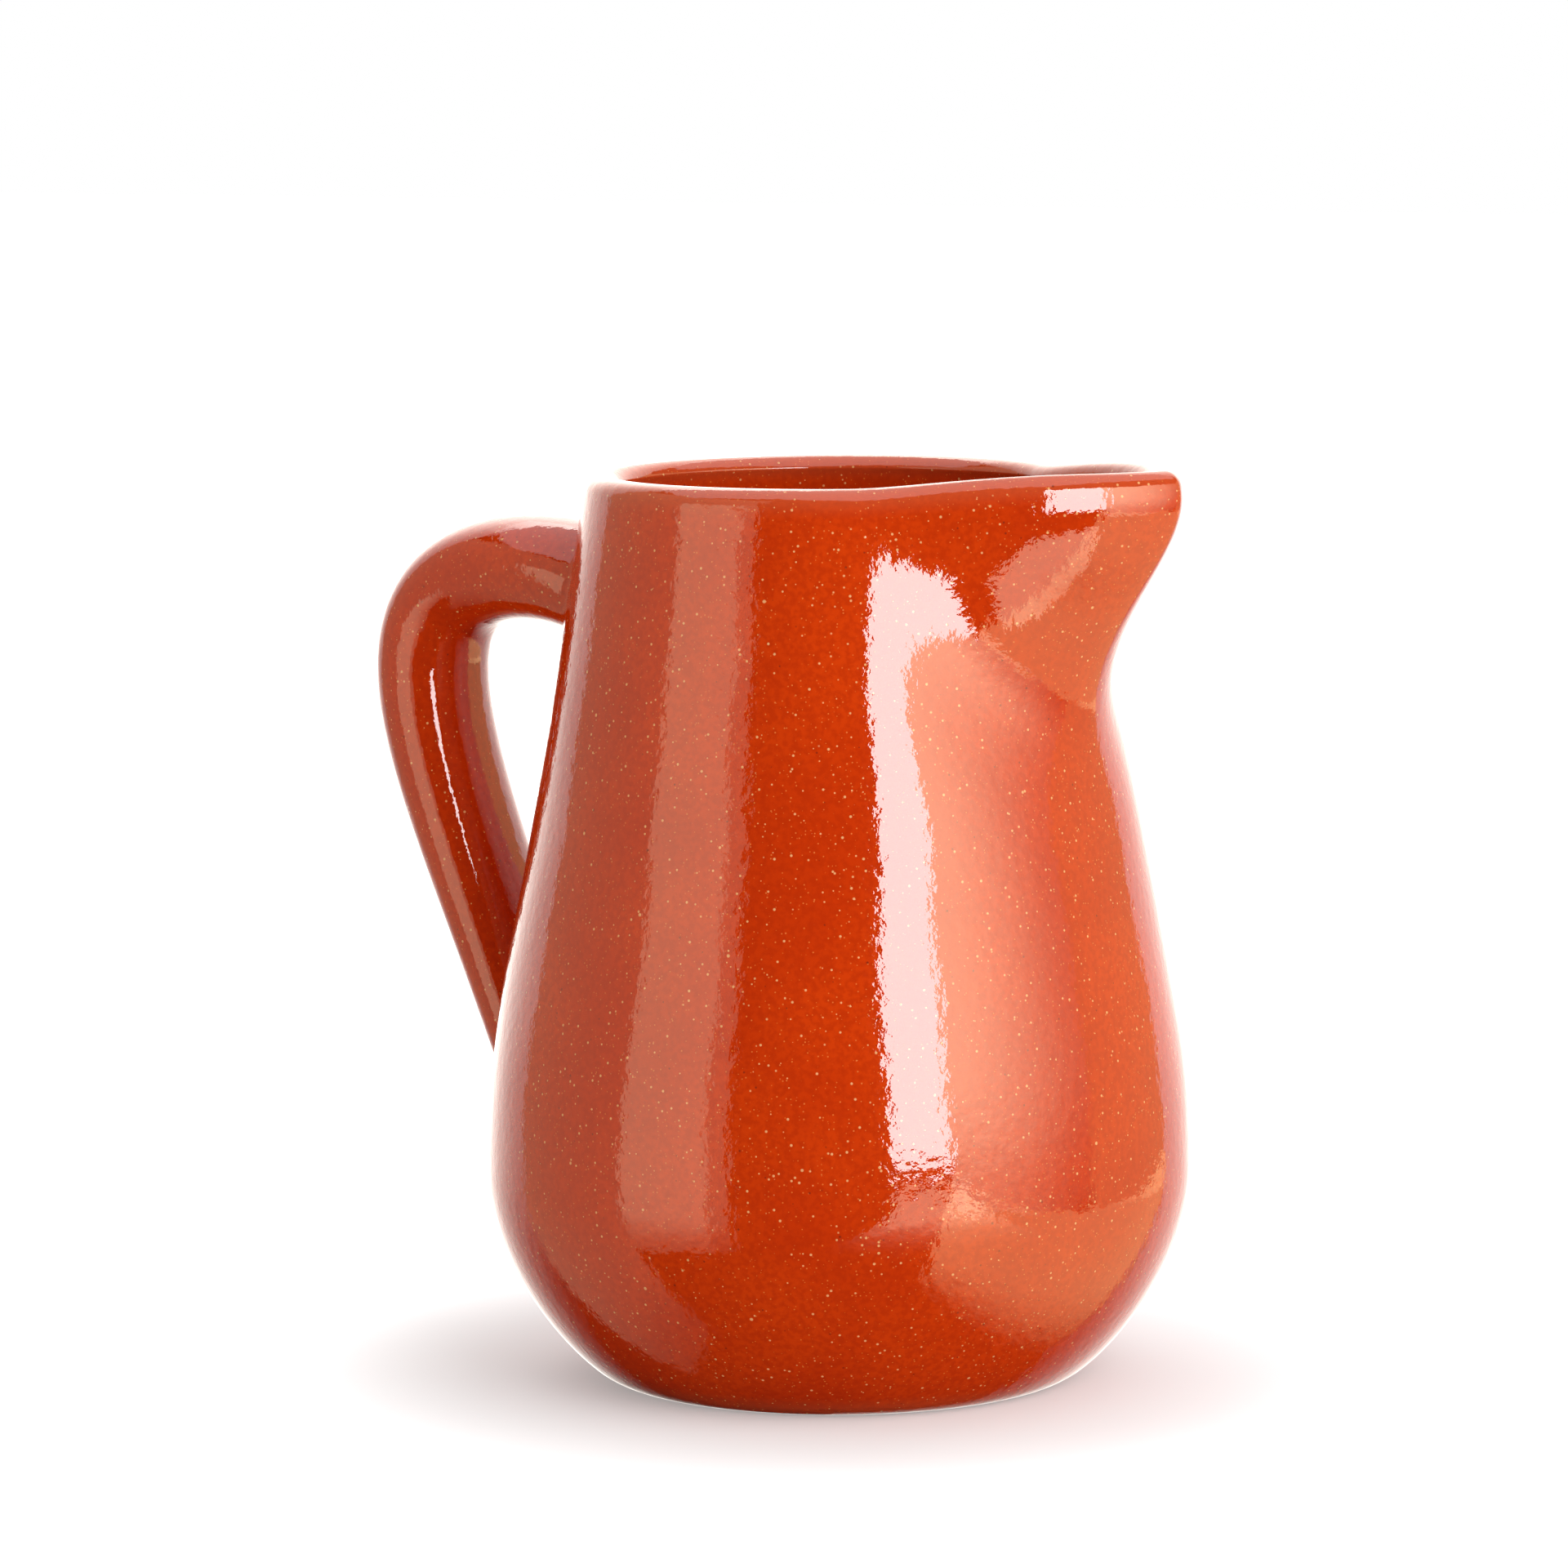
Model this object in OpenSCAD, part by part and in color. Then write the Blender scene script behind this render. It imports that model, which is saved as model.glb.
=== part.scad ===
// Glazed earthenware jug with a pouring beak and a strap handle.
// Lengths are millimetres and angles are degrees. +Z is up and +X is the way the jug pours.
// The origin is the centre of the foot, on the table that the jug stands on.

/* [Body] */
// Height of the rim above the table
rim_height = 130; // [116:1:170]
// Outer radius of the flat foot
foot_radius = 33.4; // [28:0.2:40]
// Largest outer radius of the belly
belly_radius = 50.6; // [46:0.2:62]
// Height of the widest place of the belly
belly_height = 30.6; // [25:0.2:40]
// Outer radius of the neck at the lip
neck_radius = 35.8; // [32:0.2:42]
// Angle by which the neck leans inward at the lip
neck_lean = 8.3; // [4:0.1:14]
// Thickness of the wall
wall = 4.8; // [3.6:0.1:6]
// Thickness of the floor
floor_thickness = 6; // [4:0.5:9]
// Radius of the rounded lip
lip_radius = 2.6; // [2:0.1:3.2]

/* [Curves of the body] */
// Radius of the flat part of the floor inside, as a share of the foot radius
floor_flat_share = 0.81; // [0.6:0.01:0.85]
// How far out the bowl runs before it turns up, as a share of the way from foot to belly
bowl_out_share = 0.474; // [0.3:0.01:0.6]
// Height of that turn, as a share of the belly height
bowl_turn_share = 0.16; // [0.08:0.01:0.25]
// How long the bowl stays upright below the belly, as a share of the belly height
bowl_upright_share = 0.383; // [0.25:0.01:0.5]
// How long the shoulder stays upright above the belly, as a share of the way to the lip
shoulder_share = 0.257; // [0.15:0.01:0.35]
// How long the neck runs straight, as a share of the way from belly to lip
neck_share = 0.66; // [0.5:0.01:0.7]

/* [Beak] */
// How far the beak reaches out past the neck
beak_reach = 19.6; // [12:0.2:26]
// How much higher the tip stands than the rim
beak_rise = 1.8; // [0:0.1:5]
// How far below the rim the beak starts to leave the wall
beak_depth = 54; // [44:1:58]
// Half of the angle at the tip that stands at its full height
tip_angle = 12; // [4:1:24]
// Half of the angle that the beak spans at the lip
beak_top_angle = 54.5; // [44:0.5:55]
// Half of the angle that the beak spans at its foot
beak_low_angle = 26; // [20:1:34]
// Depth of the hollow in the throat under the beak
throat_depth = 2.2; // [0:0.2:4]
// How far below the rim the middle of the hollow lies
throat_drop = 26; // [26:1:34]
// Half of the height of the hollow
throat_reach = 26; // [18:1:26]
// Half of the angle of the wall that is made with the beak
seam_angle = 56; // [56:1:62]
// How far below the rim the level seam under the beak lies
seam_drop = 72; // [71:1:76]

/* [Handle] */
// How far below the rim the middle of the handle leaves the neck
handle_drop = 17.6; // [16:0.2:24]
// Height at which the middle of the handle comes back to the belly
handle_foot = 42.8; // [38:0.2:50]
// How far the handle's bow is drawn out from the neck
handle_draw = 48; // [40:0.5:60]
// Thickness of the handle at the neck
handle_top_thickness = 16; // [12:0.2:18]
// Thickness of the handle along its back
handle_thickness = 15; // [11:0.2:17]
// Thickness of the handle at the belly
handle_foot_thickness = 11.6; // [10:0.2:14]
// Width of the handle at the neck
handle_top_width = 23.6; // [18:0.2:28]
// Width of the handle along its back
handle_width = 18.4; // [14:0.2:24]
// Width of the handle at the belly
handle_foot_width = 19; // [15:0.2:24]
// Width of the slip smoothed round both roots
slip_width = 3; // [1.6:0.1:4]
// How far that slip climbs the handle, measured out from the wall
slip_climb = 2; // [1:0.1:2.4]

/* [Hidden] */
// Thickness of the film of slip between two joined pieces
joint_gap = 0.08;
// How far a cutting shape runs past what it cuts
overrun = 2;
// Share of the way along the handle where its back is fully formed
handle_back_share = 0.45;
// How far out and up the handle springs from the neck, as shares of its draw
spring_shares = [0.206, 0.083];
// The handle's bow: how far out from the line between its roots, as shares of its draw
bow_out_shares = [0.62, 0.983, 0.474];
// The handle's bow: how high between its two roots, as shares of that height
bow_up_shares = [1.076, 0.933, 0.634];
// How far out and up the handle turns in to its foot, as shares of its draw
landing_shares = [0.1145, 0.248];
// Where the inside of the bowl turns up, as shares of the way out and of the way up
inside_out_share = 0.56;
inside_up_share = 0.45;
// How strongly the beak keeps to the wall before it springs out
beak_spring = 1.65;
// How early the beak grows wide on its way up: 1 is steadily
beak_widening = 0.5;
// How blunt the beak is across its middle, at its foot and at the lip
beak_blunt = [1.9, 1.3];
// How softly the beak's sides run out, at its foot and at the lip
beak_fade = [4, 2.25];
// How squarely the strap is rounded: 2 is an ellipse
strap_round = 2.2;
// Share of a slip fillet's legs at which its hollow face lies
slip_hollow_share = 0.3;
// Shares of the middle line between which whole rings of the strap stand clear of the body
top_clear_share = 0.1;
foot_clear_share = 0.82;
// Share past each end within which the strap's lines meet the body
root_search_share = 0.4;

// Steps along the curves
bowl_steps = 20;
neck_steps = 36;
// An odd count, so that the two sides of the wall pair up
lip_steps = 9;
beak_steps = 52;
handle_steps = 44;
root_steps = 5;
strap_sides = 36;
seat_steps = 5;
halvings = 24;
turn_segments = 192;

clay = [0.76, 0.27, 0.1];
slip = [0.66, 0.22, 0.09];

// The point at share t of a smooth curve that is drawn by its guide points
function on_curve(guide, t) =
    len(guide) == 1
        ? guide[0]
        : on_curve([for (i = [0 : len(guide) - 2]) guide[i] * (1 - t) + guide[i + 1] * t], t);

// The share of a rising curve at which it reaches the height z
function share_at(guide, z, low = 0, high = 1, left = halvings) =
    let (middle = (low + high) / 2)
    left == 0
        ? middle
        : on_curve(guide, middle)[1] < z
            ? share_at(guide, z, middle, high, left - 1)
            : share_at(guide, z, low, middle, left - 1);

function clamp(u) = max(0, min(1, u));
function smooth(u) = let (c = clamp(u)) c * c * (3 - 2 * c);
function reversed(list) = [for (i = [len(list) - 1 : -1 : 0]) list[i]];
function taper(start, back, end, turn, t) =
    t < turn
        ? start + (back - start) * smooth(t / turn)
        : back + (end - back) * smooth((t - turn) / (1 - turn));

// Heights that hang from the rim
beak_foot = rim_height - beak_depth;
throat_height = rim_height - throat_drop;
seam_height = rim_height - seam_drop;
handle_top = rim_height - handle_drop;

// Profile of the body as [radius, height]
lip_middle = [neck_radius - lip_radius, rim_height - lip_radius];
function lip_point(angle) = lip_middle + lip_radius * [cos(angle), sin(angle)];
neck_end = lip_point(neck_lean);
neck_rise = neck_end[1] - belly_height;

bowl_guide = [
    [foot_radius, 0],
    [foot_radius + bowl_out_share * (belly_radius - foot_radius), bowl_turn_share * belly_height],
    [belly_radius, (1 - bowl_upright_share) * belly_height],
    [belly_radius, belly_height]
];
neck_guide = [
    [belly_radius, belly_height],
    [belly_radius, belly_height + shoulder_share * neck_rise],
    neck_end + neck_share * neck_rise * [sin(neck_lean), -cos(neck_lean)],
    neck_end
];
inside_radius = belly_radius - wall;
floor_flat = floor_flat_share * foot_radius;
inside_guide = [
    [floor_flat, floor_thickness],
    [floor_flat + inside_out_share * (inside_radius - floor_flat), floor_thickness],
    [inside_radius, floor_thickness + inside_up_share * (belly_height - floor_thickness)],
    [inside_radius, belly_height]
];

// Outer radius of the body at height z, foot and neck included
function outer_radius(z) =
    let (guide = z < belly_height ? bowl_guide : neck_guide)
    on_curve(guide, share_at(guide, z))[0];

// One side of the wall from the height z up to the lip
function neck_side(z, thickness) =
    [for (i = [0 : neck_steps])
        let (h = z + (neck_end[1] - z) * i / neck_steps)
        [outer_radius(h) - thickness, h]];

// The lip's round edge between the ends of the two sides
lip_edge = [for (i = [1 : lip_steps - 1])
    lip_point(neck_lean + (180 - 2 * neck_lean) * i / lip_steps)];

// The wall above the height z: up outside, over the lip and down inside
function wall_section(z) = concat(neck_side(z, 0), lip_edge, reversed(neck_side(z, wall)));

// The beak's form, as shares at the angle a from its middle and at the height z
function beak_height_share(z) = clamp((z - beak_foot) / (lip_middle[1] - beak_foot));
function between(pair, share) = pair[0] + (pair[1] - pair[0]) * share;
function beak_spread(z) =
    between([beak_low_angle, beak_top_angle], pow(beak_height_share(z), beak_widening));
function beak_across(a, z) =
    let (up = beak_height_share(z),
         out = pow(min(1, abs(a) / beak_spread(z)), between(beak_blunt, up)))
    pow(1 - out, between(beak_fade, up));
function beak_up(z) = smooth(pow(beak_height_share(z), beak_spring));

// The form of the throat's hollow at the same place
function throat_across(a) = pow(1 - pow(min(1, abs(a) / seam_angle), 2), 2);
function throat_up(z) = pow(1 - pow(min(1, abs(z - throat_height) / throat_reach), 2), 3);

// How far the wall is pushed out and lifted there
function beak_push(a, z) =
    beak_reach * beak_up(z) * beak_across(a, z) - throat_depth * throat_up(z) * throat_across(a);
function beak_lift(a, z) =
    beak_rise * beak_up(z) * smooth((seam_angle - abs(a)) / (seam_angle - tip_angle));

// A point of the wall at the angle a, moved by the beak
function beak_point(p, a) =
    let (r = p[0] + beak_push(a, p[1]))
    [r * cos(a), r * sin(a), p[1] + beak_lift(a, p[1])];

// The handle's middle line as [radius, height]
handle_rise = handle_top - handle_foot;
neck_root = [outer_radius(handle_top), handle_top];
belly_root = [outer_radius(handle_foot), handle_foot];
handle_guide = concat(
    [neck_root, neck_root + handle_draw * spring_shares],
    [for (i = [0 : len(bow_out_shares) - 1])
        let (line = neck_root[0] + (belly_root[0] - neck_root[0]) * clamp(1 - bow_up_shares[i]))
        [line + bow_out_shares[i] * handle_draw, handle_foot + bow_up_shares[i] * handle_rise]],
    [belly_root + handle_draw * landing_shares, belly_root]
);

// The middle line and its direction at share t, running straight on past both roots
function handle_heading(t) =
    let (step = 1 / handle_steps,
         run = on_curve(handle_guide, clamp(t + step)) - on_curve(handle_guide, clamp(t - step)))
    run / norm(run);
function handle_middle(t) =
    let (c = clamp(t))
    on_curve(handle_guide, c) + (t - c) * handle_rise * handle_heading(c);

// A point of the strap at share t, at the angle a round its section
function round_off(v) = sign(v) * pow(abs(v), 2 / strap_round);
function strap_point(a, t) =
    let (middle = handle_middle(t),
         c = clamp(t),
         heading = handle_heading(c),
         thickness = taper(handle_top_thickness, handle_thickness, handle_foot_thickness,
                           handle_back_share, c),
         width = taper(handle_top_width, handle_width, handle_foot_width, handle_back_share, c),
         out = thickness / 2 * round_off(cos(a)),
         across = width / 2 * round_off(sin(a)))
    [-(middle[0] - heading[1] * out), across, middle[1] + heading[0] * out];

strap_angles = [for (i = [0 : strap_sides - 1]) 360 * i / strap_sides];
function strap_ring(t) = [for (a = strap_angles) strap_point(a, t)];

// Radius of the body's skin, with room for the film of slip
function skin_radius(z) = outer_radius(min(z, neck_end[1])) + joint_gap;

// The share at which the strap's line at the angle a stands the height h above that skin,
// between one share where the line is farther out and one where it is farther in
function root_share(a, h, outside, inside, left = halvings) =
    let (middle = (outside + inside) / 2,
         p = strap_point(a, middle))
    left == 0
        ? middle
        : norm([p[0], p[1]]) > skin_radius(p[2]) + h
            ? root_share(a, h, middle, inside, left - 1)
            : root_share(a, h, outside, middle, left - 1);

// Rings from the root on the skin, over the edge of the slip, up to the first whole ring
function root_rings(clear, inside) =
    let (edges = [for (a = strap_angles) root_share(a, slip_climb, clear, inside)])
    concat(
        [[for (a = strap_angles) strap_point(a, root_share(a, 0, clear, inside))]],
        [for (k = [0 : root_steps - 1])
            [for (i = [0 : strap_sides - 1])
                strap_point(strap_angles[i], edges[i] + (clear - edges[i]) * k / root_steps)]]
    );

function mean(points) = [for (p = points) 1] * points / len(points);

// The place on the body's skin that has the same y and z as the point p
function on_skin(p) =
    let (r = skin_radius(p[2]))
    [-sqrt(r * r - p[1] * p[1]), p[1], p[2]];

// Rings that close an end of the handle against the skin
function seat_rings(ring) =
    let (middle = mean(ring))
    [for (i = [1 : seat_steps])
        [for (p = ring) on_skin(middle + (p - middle) * i / (seat_steps + 1))]];

top_rings = root_rings(top_clear_share, -root_search_share);
foot_rings = root_rings(foot_clear_share, 1 + root_search_share);
strap_rings = [for (i = [0 : handle_steps])
    strap_ring(top_clear_share + (foot_clear_share - top_clear_share) * i / handle_steps)];

// Cross-sections of the slip: root, wall side, hollow middle and handle side
function slip_sections(root, edge) =
    let (middle = mean(root))
    [for (i = [0 : len(root) - 1])
        let (spoke = [0, root[i][1] - middle[1], root[i][2] - middle[2]],
             out = spoke / norm(spoke),
             corner = root[i] + joint_gap * out,
             on_wall = on_skin(corner + slip_width * out),
             on_strap = edge[i] + joint_gap * out,
             hollow = corner + slip_hollow_share * (on_wall - corner + on_strap - corner))
        [corner, on_wall, hollow, on_strap]];

// A solid through a row of rings, closed by flat ends or joined up end to end
module through_rings(rings, joined = false) {
    count = len(rings);
    size = len(rings[0]);
    points = [for (ring = rings) each ring];
    sides = [for (j = [0 : count - (joined ? 1 : 2)], i = [0 : size - 1])
        let (a = j * size + i,
             b = j * size + (i + 1) % size,
             c = (j + 1) % count * size + (i + 1) % size,
             d = (j + 1) % count * size + i)
        each [[a, b, c], [a, c, d]]];
    last = (count - 1) * size;
    caps = joined ? [] : [for (i = [0 : size / 2 - 2])
        each [[i + 1, i, size - 1 - i], [i + 1, size - 1 - i, size - 2 - i],
              [last + i, last + i + 1, last + size - 1 - i],
              [last + i + 1, last + size - 2 - i, last + size - 1 - i]]];
    polyhedron(points, concat(sides, caps));
}

// The part of the wall that is made with the beak, as a block to cut away
module beak_block(gap) {
    length = belly_radius + beak_reach;
    apex = -gap / sin(seam_angle);
    half = (length - apex) * tan(seam_angle);
    translate([0, 0, seam_height - gap])
        linear_extrude(seam_drop + gap + overrun)
            polygon([[apex, 0], [length, -half], [length, half]]);
}

module body() {
    outside = [for (i = [0 : bowl_steps]) on_curve(bowl_guide, i / bowl_steps)];
    inside = [for (i = [bowl_steps : -1 : 0]) on_curve(inside_guide, i / bowl_steps)];
    upper = wall_section(belly_height);
    profile = concat([[0, 0]], outside, [for (i = [1 : len(upper) - 2]) upper[i]], inside,
                     [[0, floor_thickness]]);
    color(clay)
        difference() {
            rotate_extrude($fn = turn_segments) polygon(profile);
            beak_block(joint_gap);
        }
}

module beak() {
    section = wall_section(seam_height);
    // Stations lie closer together toward the middle of the beak
    angles = [for (j = [-beak_steps / 2 : beak_steps / 2])
        let (s = 2 * j / beak_steps)
        seam_angle * s * (1 + abs(s)) / 2];
    color(clay)
        through_rings([for (a = angles) [for (p = section) beak_point(p, a)]]);
}

module handle() {
    color(clay)
        through_rings(reversed(concat(seat_rings(top_rings[0]), top_rings, strap_rings,
                                      reversed(foot_rings), reversed(seat_rings(foot_rings[0])))));
}

module handle_top_slip() {
    color(slip)
        through_rings(slip_sections(top_rings[0], top_rings[1]), joined = true);
}

module handle_foot_slip() {
    color(slip)
        through_rings(reversed(slip_sections(foot_rings[0], foot_rings[1])), joined = true);
}

body();
beak();
handle();
handle_top_slip();
handle_foot_slip();
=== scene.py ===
import math

import bpy
import numpy as np
from mathutils import Matrix, Vector


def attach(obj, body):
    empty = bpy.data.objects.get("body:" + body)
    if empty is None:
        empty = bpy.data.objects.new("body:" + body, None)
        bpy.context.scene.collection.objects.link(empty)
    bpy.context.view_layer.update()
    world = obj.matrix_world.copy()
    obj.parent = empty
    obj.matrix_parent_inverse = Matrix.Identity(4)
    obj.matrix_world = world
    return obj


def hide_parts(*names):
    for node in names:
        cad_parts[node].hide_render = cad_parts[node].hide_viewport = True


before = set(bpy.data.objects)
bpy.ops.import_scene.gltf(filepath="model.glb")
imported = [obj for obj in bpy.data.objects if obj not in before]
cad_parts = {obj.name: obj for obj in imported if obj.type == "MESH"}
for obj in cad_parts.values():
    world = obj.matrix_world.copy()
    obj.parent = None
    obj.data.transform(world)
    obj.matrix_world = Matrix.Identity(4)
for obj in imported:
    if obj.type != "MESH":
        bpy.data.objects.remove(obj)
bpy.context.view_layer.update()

# A millimetre in metres, for what Blender is given
MM = 0.001

# Sizes of the body in millimetres, the same as in the part's source
RIM_HEIGHT = 130
FOOT_RADIUS = 33.4
BELLY_RADIUS = 50.6
BELLY_HEIGHT = 30.6
NECK_RADIUS = 35.8
NECK_LEAN = math.radians(8.3)
WALL = 4.8
FLOOR_THICKNESS = 6
LIP_RADIUS = 2.6

# Shares that draw the body's curves, the same as in the part's source
FLOOR_FLAT_SHARE = 0.81
BOWL_OUT_SHARE = 0.474
BOWL_TURN_SHARE = 0.16
BOWL_UPRIGHT_SHARE = 0.383
SHOULDER_SHARE = 0.257
NECK_SHARE = 0.66
INSIDE_OUT_SHARE = 0.56
INSIDE_UP_SHARE = 0.45
FLOOR_FLAT = FLOOR_FLAT_SHARE * FOOT_RADIUS

# The beak, the same as in the part's source. Its angles are in degrees to either side of its
# middle, and a pair is at its foot and at the lip
BEAK_REACH = 19.6
BEAK_RISE = 1.8
BEAK_DEPTH = 54
BEAK_FOOT = RIM_HEIGHT - BEAK_DEPTH
TIP_ANGLE = 12
BEAK_SPANS = (26, 54.5)
BEAK_SPRING = 1.65
BEAK_WIDENING = 0.5
BEAK_BLUNT = (1.9, 1.3)
BEAK_FADE = (4, 2.25)
THROAT_DEPTH = 2.2
THROAT_DROP = 26
THROAT_HEIGHT = RIM_HEIGHT - THROAT_DROP
THROAT_REACH = 26
SEAM_ANGLE = 56
SEAM_DROP = 72
SEAM_HEIGHT = RIM_HEIGHT - SEAM_DROP

# The handle, the same as in the part's source. Three values are at the neck, the back and the belly
HANDLE_DROP = 17.6
HANDLE_TOP = RIM_HEIGHT - HANDLE_DROP
HANDLE_FOOT = 42.8
HANDLE_DRAW = 48
HANDLE_THICKNESSES = (16, 15, 11.6)
HANDLE_WIDTHS = (23.6, 18.4, 19)
HANDLE_BACK_SHARE = 0.45
SPRING_SHARES = (0.206, 0.083)
BOW_OUT_SHARES = (0.62, 0.983, 0.474)
BOW_UP_SHARES = (1.076, 0.933, 0.634)
LANDING_SHARES = (0.1145, 0.248)
STRAP_ROUND = 2.2
TOP_CLEAR_SHARE = 0.1
FOOT_CLEAR_SHARE = 0.82
ROOT_SEARCH_SHARE = 0.4
HEADING_STEP_SHARE = 1 / 44

# Sizes in millimetres that only the looks have. The slip runs out wider than the part's
FOOT_ROUNDING = 1.4
SLIP_WIDTH = 4.2
SLIP_CLIMB = 2.6
SLIP_LIFT = 0.02
ROOT_SINK = 1
# Inside this radius the floor is truly round, so that no beak or wobble reaches its middle
TRUE_ROUND_RADIUS = 10
# The hand-made unevenness: waves round the wall, length of a wave up it, and depth
WOBBLES = ((2, 160, 0.16), (3, 70, 0.10), (5, 45, 0.06), (9, 24, 0.03))
WOBBLE_SEED = 7

# How thin the glaze lies: on the foot's edge, from there to the belly, and on the lip's two sides,
# where 1 is thinnest and 0 or less is whole. The zone under the lip is in millimetres
THIN_FOOT_SHARE = 0.7
THIN_BOWL_SHARES = (0.6, -5)
THIN_LIP_SHARE = 0.45
THIN_ZONE = 4

# Rows of points along the stretches of the wall's section, and columns of points round it
UNDERSIDE_ROWS = 13
FOOT_EDGE_ROWS = 7
BOWL_ROWS = 39
SHOULDER_ROWS = 24
NECK_ROWS = 84
LIP_ROWS = 18
INSIDE_ROWS = 35
FLOOR_ROWS = 13
BEAK_COLUMNS = 141
BACK_COLUMNS = 130
# How close together the beak's middle columns stand: 1 is evenly
MIDDLE_SPACING_SHARE = 0.55
STRAP_ROWS = 110
STRAP_SIDES = 64
ROOT_ROWS = 14
SLIP_ROWS = 13
SLIP_SIDES = 96
HALVINGS = 30
# An angle in degrees, and a length of a normal, that are too small to matter
ANGLE_NUDGE = 0.01
TINY = 1e-12

# The photo's camera. The photo's size and the focal length are in its pixels, the sensor's width is
# in millimetres, and the rest is in metres and radians
PHOTO_SIZE = 1920
FOCAL_LENGTH = 8610
SENSOR_WIDTH = 36
TURN = math.radians(31)
CAMERA_SIDE = -0.00754
CAMERA_DISTANCE = 1.0
CAMERA_HEIGHT = 0.20406
CAMERA_PITCH = 0.11829
CAMERA_ROLL = 0.00703
CAMERA_NEAR = 0.05

# Colours of the fired clay and of the grit in it
CLAY = (0.64, 0.047, 0.0022)
CLAY_DEEP = (0.57, 0.036, 0.0018)
CLAY_MOTTLE = (0.45, 0.024, 0.0014)
CLAY_THIN = (0.58, 0.095, 0.030)
CLAY_RAW = (0.55, 0.20, 0.09)
CLAY_RAW_DEEP = (0.42, 0.14, 0.06)
GRIT_PALE = (0.85, 0.42, 0.16)
GRIT_WARM = (0.72, 0.17, 0.035)
GRIT_DARK = (0.16, 0.02, 0.006)

# Kinds of grit: spacing and largest radius of the specks in millimetres, share of the places that
# have one, how strongly it shows, and its colour
FINE_GRIT = (0.6, 0.15, 0.60, 0.95, GRIT_WARM)
MIDDLE_GRIT = (1.15, 0.23, 0.70, 0.95, GRIT_PALE)
LARGE_GRIT = (3.0, 0.30, 0.35, 0.95, GRIT_PALE)
DARK_GRIT = (1.8, 0.22, 0.35, 0.70, GRIT_DARK)
RAW_GRIT = (2.0, 0.5, 0.5, 0.7, GRIT_PALE)
# A speck's smallest radius and its solid core, as shares, and the least width of its soft edge
SMALLEST_SPECK_SHARE = 0.5
SPECK_CORE_SHARE = 0.6
SPECK_EDGE = 0.001

# Noise in the clay: size of its lumps in millimetres and its detail
CLOUDS = (22, 3.0)
MOTTLE = (0.9, 4.0)
RAW_CLOUDS = (1.5, 4.0)
RAW_GRAIN = (0.5, 3.0)
# The stretch of a noise's values that is drawn out to its whole range
NOISE_MIDDLE = (0.35, 0.65)
MOTTLE_STRENGTH = 0.5
THIN_STRENGTH = 0.75
# Unevenness of the glaze: size of its lumps in millimetres, their detail, and their share
GLAZE_LUMPS = ((9, 1.0, 0.5), (1.7, 3.0, 1.15), (0.6, 1.0, 0.10))
GRIT_LUMP_SHARE = 0.10
GLAZE_BUMP = 0.05
RAW_BUMP = 0.12

# The clear glaze is the shader's coat. The clay under it has no shine of its own
GLAZED_LOOK = {
    "Roughness": 0.38,
    "IOR": 1.45,
    "Specular IOR Level": 0.0,
    "Coat Weight": 1.0,
    "Coat Roughness": 0.025,
    "Coat IOR": 1.85,
}
RAW_ROUGHNESS = 0.85
WIRE_MARKS = {"Scale": 90.0, "Distortion": 3.0, "Detail": 2.0, "Detail Scale": 2.0}

# The table, with its lengths in metres, and the light from all round. The table glows least near
# the jug, and wholly from the second of its two reaches outward
FLOOR_REACH = 4
FLOOR_DROP = 0.1 * MM
FLOOR_ALBEDO = 0.70
FLOOR_GLOW = 0.30
FLOOR_GLOW_REACH = (0.05, 0.12)
WORLD_FILL = 0.22
WORLD_GLOSS = 0.01

# Tints and fades of the lamps. A fade is the share of the radiance that is left at the lamp's
# foot, and the share of its height at which it is whole
WHITE = (1, 1, 1)
PALE = (1, 0.95, 0.88)
WARM = (1, 0.8, 0.55)
AMBER = (1, 0.7, 0.35)
EVEN = (1, 1)
# What a lamp does: light all, be seen in the glaze alone, or light the clay alone
LAMP = "lamp"
CARD = "card"
FILL = "fill"

# The lamps stand upright round the jug at one distance, in metres. For each one: the angles to the
# right of the camera and the angles upward between which the jug's middle sees it, the radiance at
# its left and right sides, its tint, its fade, and what it does
LAMP_DISTANCE = 0.9
LAMP_LEVEL = 0.07
WALL_LAMPS = {
    "strip": ((15, 34.5), (-7, 26), (7.4, 7.4), WHITE, EVEN, CARD),
    "strip_fill": ((15, 34.5), (-7, 26), (3.0, 3.0), WHITE, EVEN, FILL),
    "right_wall": ((34.5, 88), (-14, 28), (4.5, 0.9), WARM, (0.4, 0.45), CARD),
    "right_side": ((88, 130), (-14, 28), (0.9, 0.8), AMBER, EVEN, CARD),
    "right_low": ((32, 130), (-60, -14), (1.7, 1.3), AMBER, (0, 0.6), CARD),
    "left_wall": ((-73, -42), (-30, 17), (1.5, 1.5), WARM, (0.3, 0.5), LAMP),
    "left_step": ((-42, -35), (-30, 17), (0.7, 0.7), WARM, (0.3, 0.5), CARD),
    "left_high": ((-73, -35), (17, 45), (0.55, 0.55), WARM, EVEN, CARD),
    "left_side": ((-124, -73), (-62, 45), (0.55, 0.5), WARM, (0.3, 0.5), CARD),
    "back_left": ((-180, -124), (-40, 50), (3.6, 1.0), PALE, (0.03, 0.48), CARD),
    "back_right": ((130, 180), (-50, 50), (1.2, 2.4), PALE, (0.1, 0.55), CARD),
    "back_fill": ((125, 236), (-10, 50), (0.9, 0.9), WHITE, EVEN, FILL),
    "front_fill": ((10, 85), (-15, 50), (3.1, 1.6), WHITE, EVEN, FILL),
}
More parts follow.
